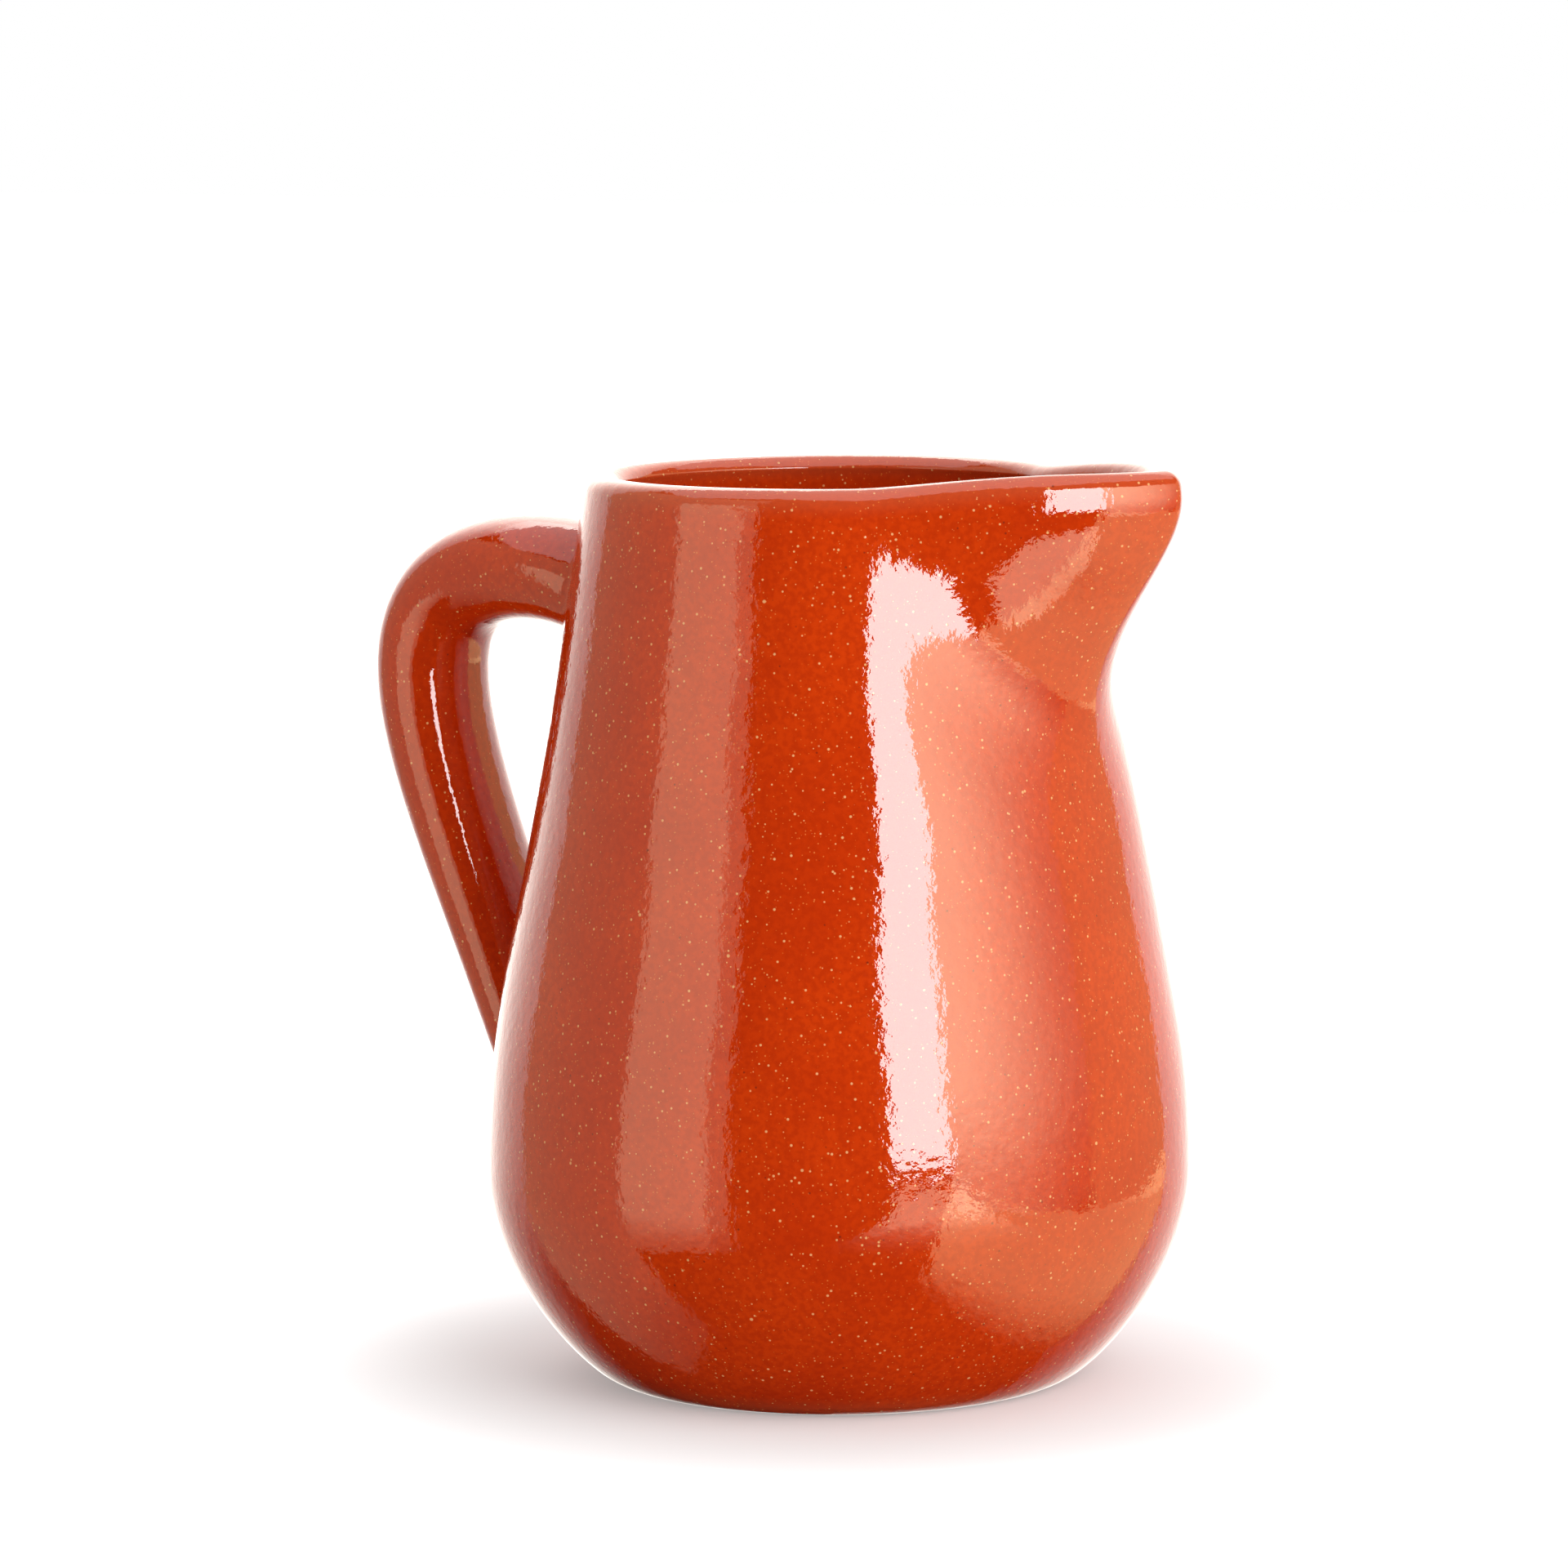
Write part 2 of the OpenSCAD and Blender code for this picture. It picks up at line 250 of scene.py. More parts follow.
# In metres too: a lamp above, its place given to the camera's right, away from it and up, and a
# bright patch of the table in front of the beak, from near to far
OVERHEAD_PLACE = (0, 0.1, 1.0)
OVERHEAD_SIZE = 1.5
OVERHEAD_RADIANCE = (0.9, 0.9)
TABLE_CARD_AZIMUTH = 26.5
TABLE_CARD_REACH = (0.08, 0.31)
TABLE_CARD_WIDTH = 0.10
TABLE_CARD_HEIGHT = 0.001
TABLE_CARD_RADIANCE = (2.2, 2.2)
TABLE_CARD_FADE = (0, 0.6)


def smooth(u):
    c = np.clip(u, 0, 1)
    return c * c * (3 - 2 * c)


def between(pair, share):
    return pair[0] + (pair[1] - pair[0]) * share


def on_curve(guide, t):
    """Points at the shares t of a smooth curve that is drawn by its guide points."""
    t = np.asarray(t, float)[..., None]
    level = [np.asarray(point, float) + 0 * t for point in guide]
    while len(level) > 1:
        level = [a * (1 - t) + b * t for a, b in zip(level, level[1:])]
    return level[0]


def share_at(guide, z):
    """The shares of a rising curve at which it reaches the heights z."""
    low = np.zeros_like(z)
    high = np.ones_like(z)
    for _ in range(HALVINGS):
        middle = (low + high) / 2
        below = on_curve(guide, middle)[..., 1] < z
        low = np.where(below, middle, low)
        high = np.where(below, high, middle)
    return low


# Profile of the body as (radius, height)
LIP_MIDDLE = np.array([NECK_RADIUS - LIP_RADIUS, RIM_HEIGHT - LIP_RADIUS])


def lip_point(angle):
    return LIP_MIDDLE + LIP_RADIUS * np.stack([np.cos(angle), np.sin(angle)], -1)


NECK_END = lip_point(NECK_LEAN)
NECK_RISE = NECK_END[1] - BELLY_HEIGHT
BOWL_TURN_RADIUS = FOOT_RADIUS + BOWL_OUT_SHARE * (BELLY_RADIUS - FOOT_RADIUS)
BOWL_GUIDE = [
    (FOOT_RADIUS, 0),
    (BOWL_TURN_RADIUS, BOWL_TURN_SHARE * BELLY_HEIGHT),
    (BELLY_RADIUS, (1 - BOWL_UPRIGHT_SHARE) * BELLY_HEIGHT),
    (BELLY_RADIUS, BELLY_HEIGHT),
]
NECK_GUIDE = [
    (BELLY_RADIUS, BELLY_HEIGHT),
    (BELLY_RADIUS, BELLY_HEIGHT + SHOULDER_SHARE * NECK_RISE),
    NECK_END + NECK_SHARE * NECK_RISE * np.array([math.sin(NECK_LEAN), -math.cos(NECK_LEAN)]),
    NECK_END,
]
INSIDE_RADIUS = BELLY_RADIUS - WALL
INSIDE_GUIDE = [
    (FLOOR_FLAT, FLOOR_THICKNESS),
    (FLOOR_FLAT + INSIDE_OUT_SHARE * (INSIDE_RADIUS - FLOOR_FLAT), FLOOR_THICKNESS),
    (INSIDE_RADIUS, FLOOR_THICKNESS + INSIDE_UP_SHARE * (BELLY_HEIGHT - FLOOR_THICKNESS)),
    (INSIDE_RADIUS, BELLY_HEIGHT),
]


def outer_radius(z):
    z = np.asarray(z, float)
    bowl = on_curve(BOWL_GUIDE, share_at(BOWL_GUIDE, z))[..., 0]
    neck = on_curve(NECK_GUIDE, share_at(NECK_GUIDE, z))[..., 0]
    return np.where(z < BELLY_HEIGHT, bowl, neck)


def wall_points(z, inward=0):
    """The wall's section at the heights z, some way inward from its outer face."""
    return np.stack([outer_radius(z) - inward, z], -1)


def beak_height_share(z):
    return np.clip((z - BEAK_FOOT) / (LIP_MIDDLE[1] - BEAK_FOOT), 0, 1)


def beak_up(z):
    return smooth(beak_height_share(z) ** BEAK_SPRING)


def beak_push(a, z):
    """How far the wall is pushed out at a degrees from the beak's middle, at the height z."""
    up = beak_height_share(z)
    spread = between(BEAK_SPANS, up ** BEAK_WIDENING)
    out = np.minimum(1, np.abs(a) / spread) ** between(BEAK_BLUNT, up)
    across = (1 - out) ** between(BEAK_FADE, up)
    throat_across = (1 - np.minimum(1, np.abs(a) / SEAM_ANGLE) ** 2) ** 2
    throat_up = (1 - np.minimum(1, np.abs(z - THROAT_HEIGHT) / THROAT_REACH) ** 2) ** 3
    return BEAK_REACH * beak_up(z) * across - THROAT_DEPTH * throat_up * throat_across


def beak_lift(a, z):
    return BEAK_RISE * beak_up(z) * smooth((SEAM_ANGLE - np.abs(a)) / (SEAM_ANGLE - TIP_ANGLE))


def wobble(a, z):
    """The hand-made unevenness of the wall: a few long, shallow waves round and up it."""
    waves = np.random.default_rng(WOBBLE_SEED)
    total = 0
    for turns, length, depth in WOBBLES:
        phase_a, phase_z = waves.uniform(0, 2 * math.pi, 2)
        round_wall = np.sin(turns * np.radians(a) + phase_a)
        total = total + depth * round_wall * np.sin(2 * math.pi * z / length + phase_z)
    return total


def vessel_rows():
    """The wall's section, from the middle of the underside up, over the lip and down to the middle
    of the floor: radius, height, how thin the glaze lies, and whether the beak's seam is below."""
    rows = []

    def add(points, thin, above_seam=False):
        for (radius, height), share in zip(points, np.broadcast_to(thin, len(points))):
            rows.append((radius, height, share, above_seam))

    flat_end = FOOT_RADIUS - FOOT_ROUNDING
    underside = np.linspace(0, flat_end, UNDERSIDE_ROWS, endpoint=False)
    add([(radius, 0) for radius in underside], 1)

    bowl_start = share_at(BOWL_GUIDE, np.array(FOOT_ROUNDING))
    foot_edge = [(flat_end, 0), (FOOT_RADIUS, 0), on_curve(BOWL_GUIDE, bowl_start)]
    edge_shares = np.linspace(0, 1, FOOT_EDGE_ROWS, endpoint=False)
    add(on_curve(foot_edge, edge_shares), THIN_FOOT_SHARE)

    bowl_shares = bowl_start + (1 - bowl_start) * np.linspace(0, 1, BOWL_ROWS, endpoint=False)
    add(on_curve(BOWL_GUIDE, bowl_shares), np.linspace(*THIN_BOWL_SHARES, BOWL_ROWS).clip(0))

    low = np.linspace(BELLY_HEIGHT, SEAM_HEIGHT, SHOULDER_ROWS, endpoint=False)
    high = np.linspace(SEAM_HEIGHT, NECK_END[1], NECK_ROWS)
    thin_high = smooth((high - NECK_END[1] + THIN_ZONE / 2) / THIN_ZONE)
    add(wall_points(low), 0)
    add(wall_points(high), thin_high, True)

    lip_turn = np.linspace(NECK_LEAN, math.pi - NECK_LEAN, LIP_ROWS + 2)[1:-1]
    add(lip_point(lip_turn), between((THIN_LIP_SHARE, 1), np.sin(lip_turn)), True)

    add(wall_points(high, WALL)[::-1], thin_high[::-1], True)
    add(wall_points(low, WALL)[::-1], 0)
    add(on_curve(INSIDE_GUIDE, np.linspace(1, 0, INSIDE_ROWS + 1)[1:]), 0)
    inside_floor = np.linspace(FLOOR_FLAT, 0, FLOOR_ROWS + 1)[1:]
    add([(radius, FLOOR_THICKNESS) for radius in inside_floor], 0)
    return rows


def column_angles():
    """Angles round the wall in degrees, closer together at the beak's middle."""
    share = np.linspace(-1, 1, BEAK_COLUMNS)
    beak = SEAM_ANGLE * share * between((MIDDLE_SPACING_SHARE, 1), np.abs(share))
    back = np.linspace(SEAM_ANGLE, 360 - SEAM_ANGLE, BACK_COLUMNS + 2)[1:-1]
    return np.concatenate([beak, back])


def grid_normals(points):
    """Normals of a grid of points whose rows run up and whose columns run round and join up."""
    along = np.gradient(points, axis=0)
    across = (np.roll(points, -1, 1) - np.roll(points, 1, 1)) / 2
    normals = np.cross(across, along)
    length = np.linalg.norm(normals, axis=-1, keepdims=True)
    return normals / np.maximum(length, TINY)


def grid_quads(rows, count):
    """Corner numbers of the quads of such a grid, one row of quads after the other."""
    quads = []
    for i in range(rows - 1):
        for j in range(count):
            k = (j + 1) % count
            above = i + 1
            quads.append((i * count + j, i * count + k, above * count + k, above * count + j))
    return quads


def make_piece(name, points, normals, quads, thin, materials, slots=None):
    """A mesh object, in metres, with its own normals and how thin the glaze lies at each point."""
    points = points.reshape(-1, 3)
    normals = normals.reshape(-1, 3)
    used = sorted({corner for quad in quads for corner in quad})
    number = {corner: i for i, corner in enumerate(used)}
    mesh = bpy.data.meshes.new(name)
    faces = [[number[corner] for corner in quad] for quad in quads]
    mesh.from_pydata((points[used] * MM).tolist(), [], faces)
    layer = mesh.attributes.new("thin", "FLOAT", "POINT")
    layer.data.foreach_set("value", thin.reshape(-1)[used].astype(np.float32))
    for material in materials:
        mesh.materials.append(material)
    if slots is not None:
        mesh.polygons.foreach_set("material_index", slots)
    mesh.polygons.foreach_set("use_smooth", [True] * len(faces))
    mesh.normals_split_custom_set_from_vertices(normals[used].tolist())
    mesh.update()
    piece = bpy.data.objects.new(name, mesh)
    bpy.context.scene.collection.objects.link(piece)
    return piece


def make_tube(name, points, outward, material):
    """A piece from a grid of points. Its faces and normals turn the way that outward points."""
    rows, sides = points.shape[:2]
    normals = grid_normals(points)
    quads = grid_quads(rows, sides)
    if (normals * outward).sum() < 0:
        normals = -normals
        quads = [quad[::-1] for quad in quads]
    return make_piece(name, points, normals, quads, np.zeros((rows, sides)), [material])


def make_vessel(glaze, raw):
    """The body and the beak, cut from one skin so that no seam shows between them."""
    rows = vessel_rows()
    angles = column_angles()
    r, z, thin = [np.array([row[i] for row in rows])[:, None] for i in range(3)]
    turned = (angles + 180) % 360 - 180
    off_axis = smooth(r / TRUE_ROUND_RADIUS)
    uneven = wobble(angles, z) * (smooth(z / FOOT_ROUNDING) * off_axis)
    out = r + beak_push(turned, z) * off_axis + uneven
    up = z + beak_lift(turned, z)
    a = np.radians(angles)
    points = np.stack([out * np.cos(a), out * np.sin(a), up + 0 * out], -1)
    normals = grid_normals(points)
    normals[0] = (0, 0, -1)
    normals[-1] = (0, 0, 1)
    body_quads = []
    body_slots = []
    beak_quads = []
    for index, quad in enumerate(grid_quads(len(rows), len(angles))):
        i, j = divmod(index, len(angles))
        # A quad is in the beak's span if the angle just past its first side is
        in_span = abs(turned[j] + ANGLE_NUDGE) < SEAM_ANGLE
        above_seam = rows[i][3]
        if above_seam and in_span:
            beak_quads.append(quad)
        else:
            body_quads.append(quad)
            # The second material, the raw clay, covers the flat underside
            body_slots.append(1 if z[i + 1, 0] <= 0 else 0)
    thin = thin + 0 * angles
    body = make_piece("body_glazed", points, normals, body_quads, thin, [glaze, raw], body_slots)
    beak = make_piece("beak_glazed", points, normals, beak_quads, thin, [glaze])
    return body, beak


# The handle's middle line as (radius, height)
NECK_ROOT = np.array([float(outer_radius(HANDLE_TOP)), HANDLE_TOP])
BELLY_ROOT = np.array([float(outer_radius(HANDLE_FOOT)), HANDLE_FOOT])
HANDLE_RISE = HANDLE_TOP - HANDLE_FOOT


def bow_point(out_share, up_share):
    line = NECK_ROOT[0] + (BELLY_ROOT[0] - NECK_ROOT[0]) * min(1, max(0, 1 - up_share))
    return (line + out_share * HANDLE_DRAW, HANDLE_FOOT + up_share * HANDLE_RISE)


HANDLE_GUIDE = [
    NECK_ROOT,
    NECK_ROOT + HANDLE_DRAW * np.array(SPRING_SHARES),
    *[bow_point(out, up) for out, up in zip(BOW_OUT_SHARES, BOW_UP_SHARES)],
    BELLY_ROOT + HANDLE_DRAW * np.array(LANDING_SHARES),
    BELLY_ROOT,
]


def handle_heading(t):
    ahead = on_curve(HANDLE_GUIDE, np.clip(t + HEADING_STEP_SHARE, 0, 1))
    behind = on_curve(HANDLE_GUIDE, np.clip(t - HEADING_STEP_SHARE, 0, 1))
    run = ahead - behind
    return run / np.linalg.norm(run, axis=-1, keepdims=True)


def taper(values, t):
    start, back, end = values
    early = start + (back - start) * smooth(t / HANDLE_BACK_SHARE)
    late = back + (end - back) * smooth((t - HANDLE_BACK_SHARE) / (1 - HANDLE_BACK_SHARE))
    return np.where(t < HANDLE_BACK_SHARE, early, late)


def rounded(wave):
    """A sine or cosine made fuller, so that a ring drawn with it is squarer than an ellipse."""
    return np.sign(wave) * np.abs(wave) ** (2 / STRAP_ROUND)


def strap_points(a, t):
    """Points of the strap at the shares t of its length, at the angles a round its section."""
    c = np.clip(t, 0, 1)
    heading = handle_heading(c)
    middle = on_curve(HANDLE_GUIDE, c) + ((t - c) * HANDLE_RISE)[..., None] * heading
    out = taper(HANDLE_THICKNESSES, c) / 2 * rounded(np.cos(a))
    side = taper(HANDLE_WIDTHS, c) / 2 * rounded(np.sin(a))
    x = -(middle[..., 0] - heading[..., 1] * out)
    return np.stack([x, side, middle[..., 1] + heading[..., 0] * out], -1)


def skin_radius(z):
    return outer_radius(np.minimum(z, NECK_END[1]))


def root_shares(a, height, outside, inside):
    """Where the strap's lines stand a height above the body's skin."""
    outside = np.full_like(a, outside)
    inside = np.full_like(a, inside)
    for _ in range(HALVINGS):
        middle = (outside + inside) / 2
        p = strap_points(a, middle)
        clear = np.hypot(p[..., 0], p[..., 1]) > skin_radius(p[..., 2]) + height
        outside = np.where(clear, middle, outside)
        inside = np.where(clear, inside, middle)
    return outside


def lifted_off_skin(y, z, lift):
    """Points on the handle's side of the body, a little way off its skin."""
    r = skin_radius(z) + lift
    return np.stack([-np.sqrt(r * r - y * y), y, z], -1)


def make_handle(glaze):
    """The strap, with its two ends let a little way into the body."""
    a = np.linspace(0, 2 * math.pi, STRAP_SIDES, endpoint=False)
    top = root_shares(a, -ROOT_SINK, TOP_CLEAR_SHARE, -ROOT_SEARCH_SHARE)
    foot = root_shares(a, -ROOT_SINK, FOOT_CLEAR_SHARE, 1 + ROOT_SEARCH_SHARE)
    root_steps = np.linspace(0, 1, ROOT_ROWS + 1)[:, None]
    strap_steps = np.linspace(0, 1, STRAP_ROWS)[:, None]
    shares = np.concatenate([
        between((top, TOP_CLEAR_SHARE), root_steps[:-1]),
        between((TOP_CLEAR_SHARE, FOOT_CLEAR_SHARE), strap_steps) + 0 * a,
        between((FOOT_CLEAR_SHARE, foot), root_steps[1:]),
    ])
    points = strap_points(a + 0 * shares, shares)
    return make_tube("handle_glazed", points, points - points.mean(1, keepdims=True), glaze)


def make_slip(name, glaze, clear, inside):
    """The hollow fillet of slip between the body and one root of the handle."""
    a = np.linspace(0, 2 * math.pi, SLIP_SIDES, endpoint=False)
    root = strap_points(a, root_shares(a, 0, clear, inside))
    edge = strap_points(a, root_shares(a, SLIP_CLIMB, clear, inside))
    spoke = (root - root.mean(0))[:, 1:]
    out = spoke / np.linalg.norm(spoke, axis=1, keepdims=True)
    run_out = root[:, 1:] + SLIP_WIDTH * out
    wall = lifted_off_skin(run_out[:, 0], run_out[:, 1], SLIP_LIFT)
    share = np.linspace(0, 1, SLIP_ROWS)[:, None, None]
    points = wall * (1 - share) ** 2 + 2 * root * share * (1 - share) + edge * share ** 2
    return make_tube(name, points, (-1, 0, 0), glaze)


def add_node(tree, kind, inputs=None, **settings):
    """A node with its settings, and its inputs set to values or linked to other nodes."""
    made = tree.nodes.new(kind)
    for key, value in settings.items():
        setattr(made, key, value)
    for key, value in (inputs or {}).items():
        if isinstance(value, bpy.types.NodeSocket):
            tree.links.new(value, made.inputs[key])
        else:
            made.inputs[key].default_value = value
    return made


def math_node(tree, operation, a, b=0.0, clamp=False):
    made = add_node(tree, "ShaderNodeMath", {0: a, 1: b}, operation=operation, use_clamp=clamp)
    return made.outputs[0]


def mix_colour(tree, share, a, b):
    """The colour that lies at the share of the way from a to b."""
    def colour(value):
        return value if isinstance(value, bpy.types.NodeSocket) else (*value, 1)

    inputs = {0: share, 6: colour(a), 7: colour(b)}
    return add_node(tree, "ShaderNodeMix", inputs, data_type="RGBA").outputs[2]


def noise(tree, where, size_mm, detail):
    """Soft noise between 0 and 1 whose lumps are about size_mm across."""
    inputs = {"Vector": where, "Scale": 1 / (size_mm * MM), "Detail": detail}
    return add_node(tree, "ShaderNodeTexNoise", inputs).outputs["Fac"]


def ramp(tree, value, low, high, to_low=0.0, to_high=1.0):
    """The value's stretch from low to high, drawn out between two results."""
    made = add_node(
        tree,
        "ShaderNodeMapRange",
        {"Value": value, "From Min": low, "From Max": high, "To Min": to_low, "To Max": to_high},
        interpolation_type="SMOOTHSTEP",
    )
    return made.outputs[0]


def specks(tree, where, spacing_mm, radius_mm, kept_share):
    """Round specks of different sizes, scattered about one to a cell, some cells left empty."""
    scale = 1 / (spacing_mm * MM)
    cells = add_node(tree, "ShaderNodeTexVoronoi", {"Vector": where, "Scale": scale})
    kinds = add_node(tree, "ShaderNodeSeparateColor", {0: cells.outputs["Color"]})
    largest = radius_mm / spacing_mm
    radius = ramp(tree, kinds.outputs[1], 0, 1, SMALLEST_SPECK_SHARE * largest, largest)
    core = math_node(tree, "MULTIPLY", radius, SPECK_CORE_SHARE)
    inward = math_node(tree, "SUBTRACT", radius, cells.outputs["Distance"])
    width = math_node(tree, "SUBTRACT", radius, core)
    width = math_node(tree, "ADD", width, SPECK_EDGE)
    inside = math_node(tree, "DIVIDE", inward, width, clamp=True)
    kept = math_node(tree, "LESS_THAN", kinds.outputs[0], kept_share)
    return math_node(tree, "MULTIPLY", inside, kept)


def lay_grit(tree, where, colour, kind):
    """The colour with one kind of grit laid over it, and the specks by themselves."""
    spacing_mm, radius_mm, kept_share, strength, shade = kind
    grit = specks(tree, where, spacing_mm, radius_mm, kept_share)
    shown = math_node(tree, "MULTIPLY", grit, strength)
    return mix_colour(tree, shown, colour, shade), grit


def start_material(name):
    """A new material, its tree, its shader, and places counted from the object's origin."""
    material = bpy.data.materials.new(name)
    material.use_nodes = True
    tree = material.node_tree
    where = add_node(tree, "ShaderNodeTexCoord").outputs["Object"]
    return material, tree, tree.nodes["Principled BSDF"], where


def add_bump(tree, height, distance_mm):
    inputs = {"Height": height, "Distance": distance_mm * MM, "Strength": 1.0}
    return add_node(tree, "ShaderNodeBump", inputs).outputs[0]


def glazed_clay():
    """Red clay with grit in it, under a clear, high-gloss glaze."""
    material, tree, shader, where = start_material("glazed_clay")
    clouds = ramp(tree, noise(tree, where, *CLOUDS), *NOISE_MIDDLE)
    colour = mix_colour(tree, clouds, CLAY_DEEP, CLAY)
    mottle = ramp(tree, noise(tree, where, *MOTTLE), *NOISE_MIDDLE, 0.0, MOTTLE_STRENGTH)
    colour = mix_colour(tree, mottle, colour, CLAY_MOTTLE)
    thin = add_node(tree, "ShaderNodeAttribute", attribute_name="thin").outputs["Fac"]
    thin = math_node(tree, "MULTIPLY", thin, THIN_STRENGTH, clamp=True)
    colour = mix_colour(tree, thin, colour, CLAY_THIN)
    colour, _ = lay_grit(tree, where, colour, FINE_GRIT)
    colour, _ = lay_grit(tree, where, colour, MIDDLE_GRIT)
    colour, large = lay_grit(tree, where, colour, LARGE_GRIT)
    colour, _ = lay_grit(tree, where, colour, DARK_GRIT)
    tree.links.new(colour, shader.inputs["Base Color"])
    height = 0.0
    for size_mm, detail, share in GLAZE_LUMPS:
        lumps = math_node(tree, "MULTIPLY", noise(tree, where, size_mm, detail), share)
        height = math_node(tree, "ADD", height, lumps)
    grit_lumps = math_node(tree, "MULTIPLY", large, GRIT_LUMP_SHARE)
    bump = add_bump(tree, math_node(tree, "ADD", height, grit_lumps), GLAZE_BUMP)
    tree.links.new(bump, shader.inputs["Normal"])
    tree.links.new(bump, shader.inputs["Coat Normal"])
    for key, value in GLAZED_LOOK.items():
        shader.inputs[key].default_value = value
    return material


def raw_clay():
    """The bare clay of the underside, with the marks that the wire left as it was cut free."""
    material, tree, shader, where = start_material("raw_clay")
    inputs = {"Vector": where, **WIRE_MARKS}
    marks = add_node(
        tree, "ShaderNodeTexWave", inputs, wave_type="RINGS", rings_direction="Z"
    ).outputs["Fac"]
    colour = mix_colour(tree, noise(tree, where, *RAW_CLOUDS), CLAY_RAW, CLAY_RAW_DEEP)
    colour, _ = lay_grit(tree, where, colour, RAW_GRIT)
    tree.links.new(colour, shader.inputs["Base Color"])
    height = math_node(tree, "ADD", marks, noise(tree, where, *RAW_GRAIN))
    tree.links.new(add_bump(tree, height, RAW_BUMP), shader.inputs["Normal"])
    shader.inputs["Roughness"].default_value = RAW_ROUGHNESS
    return material


def in_studio(side, forward, height):
    """A place given as seen by the camera: to its right, away from it past the jug, and up."""
    return Matrix.Rotation(TURN, 4, "Z") @ Vector((side, forward, height))


def make_camera():
    data = bpy.data.cameras.new("camera")
    data.sensor_width = SENSOR_WIDTH
    data.lens = FOCAL_LENGTH / PHOTO_SIZE * SENSOR_WIDTH
    data.clip_start = CAMERA_NEAR
    camera = bpy.data.objects.new("camera", data)
    bpy.context.scene.collection.objects.link(camera)
    upright = Matrix.Rotation(math.pi / 2 - CAMERA_PITCH, 4, "X")
    rolled = Matrix.Rotation(-CAMERA_ROLL, 4, "Z")
    turned = Matrix.Rotation(TURN, 4, "Z") @ (upright @ rolled)
    place = in_studio(CAMERA_SIDE, -CAMERA_DISTANCE, CAMERA_HEIGHT)
    camera.matrix_world = Matrix.Translation(place) @ turned
    bpy.context.scene.camera = camera


def add_lamp(name, size, turned, radiance, tint=WHITE, fade=EVEN, kind=LAMP):
    """A soft rectangular lamp. Its radiance runs from its left to its right side."""
    data = bpy.data.lights.new(name, "AREA")
    data.shape = "RECTANGLE"
    data.size, data.size_y = size
    # With this energy the strength of the lamp's nodes is its radiance
    data.energy = math.pi * size[0] * size[1]
    data.use_nodes = True
    tree = data.node_tree
    spot = add_node(tree, "ShaderNodeNewGeometry").outputs["Parametric"]
    axes = add_node(tree, "ShaderNodeSeparateXYZ", {0: spot})
    across = ramp(tree, axes.outputs[0], 0, 1, *radiance)
    left_at_foot, whole_at = fade
    upward = ramp(tree, axes.outputs[1], 0, whole_at, left_at_foot, 1)
    emission = tree.nodes["Emission"]
    tree.links.new(math_node(tree, "MULTIPLY", across, upward), emission.inputs["Strength"])
    emission.inputs["Color"].default_value = (*tint, 1)
    lamp = bpy.data.objects.new(name, data)
    bpy.context.scene.collection.objects.link(lamp)
    lamp.matrix_world = turned
    lamp.visible_camera = False
    lamp.visible_diffuse = kind != CARD
    lamp.visible_glossy = kind != FILL


def add_wall_lamp(name, azimuths, elevations, *look):
    """A lamp standing upright round the jug, given by the angles at which the jug sees it."""
    left, right = [math.radians(angle) for angle in azimuths]
    low, high = [LAMP_DISTANCE * math.tan(math.radians(angle)) for angle in elevations]
    middle = (left + right) / 2
    width = 2 * LAMP_DISTANCE * math.tan((right - left) / 2)
    side = LAMP_DISTANCE * math.sin(middle)
    forward = -LAMP_DISTANCE * math.cos(middle)
    place = in_studio(side, forward, LAMP_LEVEL + (low + high) / 2)
    aim = in_studio(-side, -forward, 0).to_track_quat("-Z", "Y").to_matrix().to_4x4()
    add_lamp(name, (width, high - low), Matrix.Translation(place) @ aim, *look)


def add_table_card():
    """The part of the table in front of the beak that the photo's lamps light up brightly."""
    heading = math.radians(TABLE_CARD_AZIMUTH)
    near, far = TABLE_CARD_REACH
    middle = (near + far) / 2
    ahead = (middle * math.sin(heading), -middle * math.cos(heading))
    place = in_studio(*ahead, TABLE_CARD_HEIGHT)
    lying = Matrix.Rotation(TURN + heading, 4, "Z") @ Matrix.Rotation(math.pi, 4, "X")
    size = (TABLE_CARD_WIDTH, far - near)
    turned = Matrix.Translation(place) @ lying
    add_lamp("table_card", size, turned, TABLE_CARD_RADIANCE, WARM, TABLE_CARD_FADE, CARD)


def light_studio():
    for name, look in WALL_LAMPS.items():
        add_wall_lamp(name, *look)
    add_table_card()
    above = Matrix.Translation(in_studio(*OVERHEAD_PLACE))
    add_lamp("overhead", (OVERHEAD_SIZE, OVERHEAD_SIZE), above, OVERHEAD_RADIANCE)


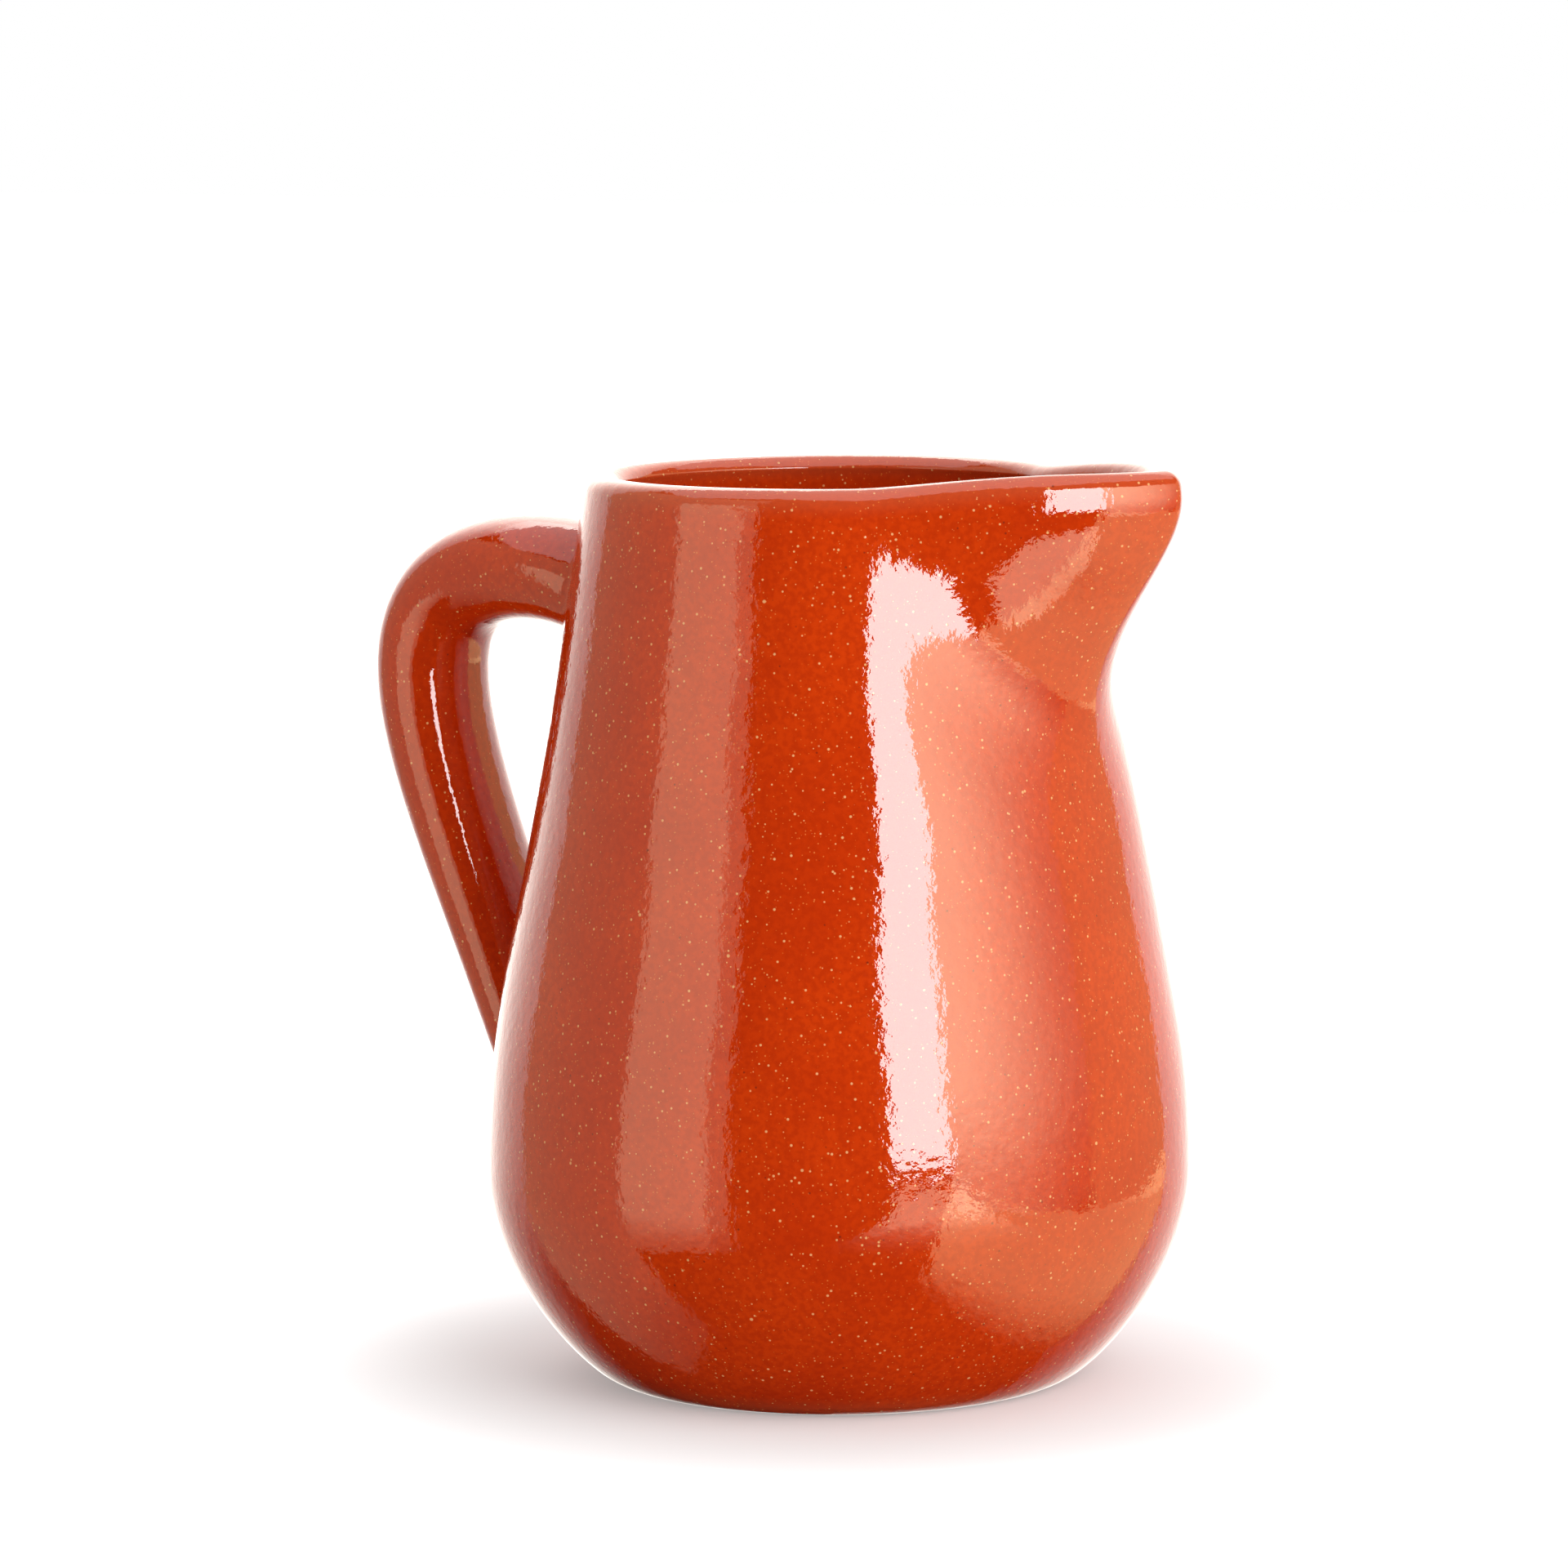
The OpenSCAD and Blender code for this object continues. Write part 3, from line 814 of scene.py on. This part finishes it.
def make_world():
    """Dim light from all round, which the camera itself sees as plain white."""
    world = bpy.data.worlds.new("studio")
    bpy.context.scene.world = world
    world.use_nodes = True
    tree = world.node_tree
    background = tree.nodes["Background"]
    rays = add_node(tree, "ShaderNodeLightPath")
    dim = ramp(tree, rays.outputs["Is Glossy Ray"], 0, 1, WORLD_FILL, WORLD_GLOSS)
    strength = math_node(tree, "MAXIMUM", dim, rays.outputs["Is Camera Ray"])
    background.inputs["Color"].default_value = (*WHITE, 1)
    tree.links.new(strength, background.inputs["Strength"])


def make_floor():
    """The pale table. For the camera it glows white away from the jug, and less in its shadow."""
    mesh = bpy.data.meshes.new("floor")
    signs = [(-1, -1), (1, -1), (1, 1), (-1, 1)]
    corners = [(x * FLOOR_REACH, y * FLOOR_REACH, -FLOOR_DROP) for x, y in signs]
    mesh.from_pydata(corners, [], [(0, 1, 2, 3)])
    material, tree, shader, where = start_material("floor_white")
    shader.inputs["Base Color"].default_value = (FLOOR_ALBEDO, FLOOR_ALBEDO, FLOOR_ALBEDO, 1)
    shader.inputs["Roughness"].default_value = 1.0
    shader.inputs["Specular IOR Level"].default_value = 0.0
    reach = add_node(tree, "ShaderNodeVectorMath", {0: where}, operation="LENGTH").outputs["Value"]
    glow = ramp(tree, reach, *FLOOR_GLOW_REACH, FLOOR_GLOW, 1.0)
    rays = add_node(tree, "ShaderNodeLightPath")
    glow = math_node(tree, "MULTIPLY", rays.outputs["Is Camera Ray"], glow)
    shader.inputs["Emission Color"].default_value = (*WHITE, 1)
    tree.links.new(glow, shader.inputs["Emission Strength"])
    mesh.materials.append(material)
    floor = bpy.data.objects.new("floor", mesh)
    bpy.context.scene.collection.objects.link(floor)
    # The photo's glaze shows no pale table, so the floor is left out of the reflections
    floor.visible_glossy = False


make_camera()
make_world()
make_floor()
light_studio()
bpy.context.scene.view_settings.view_transform = "Standard"

glaze = glazed_clay()
raw = raw_clay()
body, beak = make_vessel(glaze, raw)
handle = make_handle(glaze)
top_slip = make_slip("handle_top_slip_glazed", glaze, TOP_CLEAR_SHARE, -ROOT_SEARCH_SHARE)
foot_slip = make_slip("handle_foot_slip_glazed", glaze, FOOT_CLEAR_SHARE, 1 + ROOT_SEARCH_SHARE)

for piece, node, slot in (
    (body, "body", "glazed_clay"),
    (beak, "beak", "glazed_clay"),
    (handle, "handle", "glazed_clay"),
    (top_slip, "handle_top_slip", "glazed_slip"),
    (foot_slip, "handle_foot_slip", "glazed_slip"),
):
    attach(piece, "root")
    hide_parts(node)
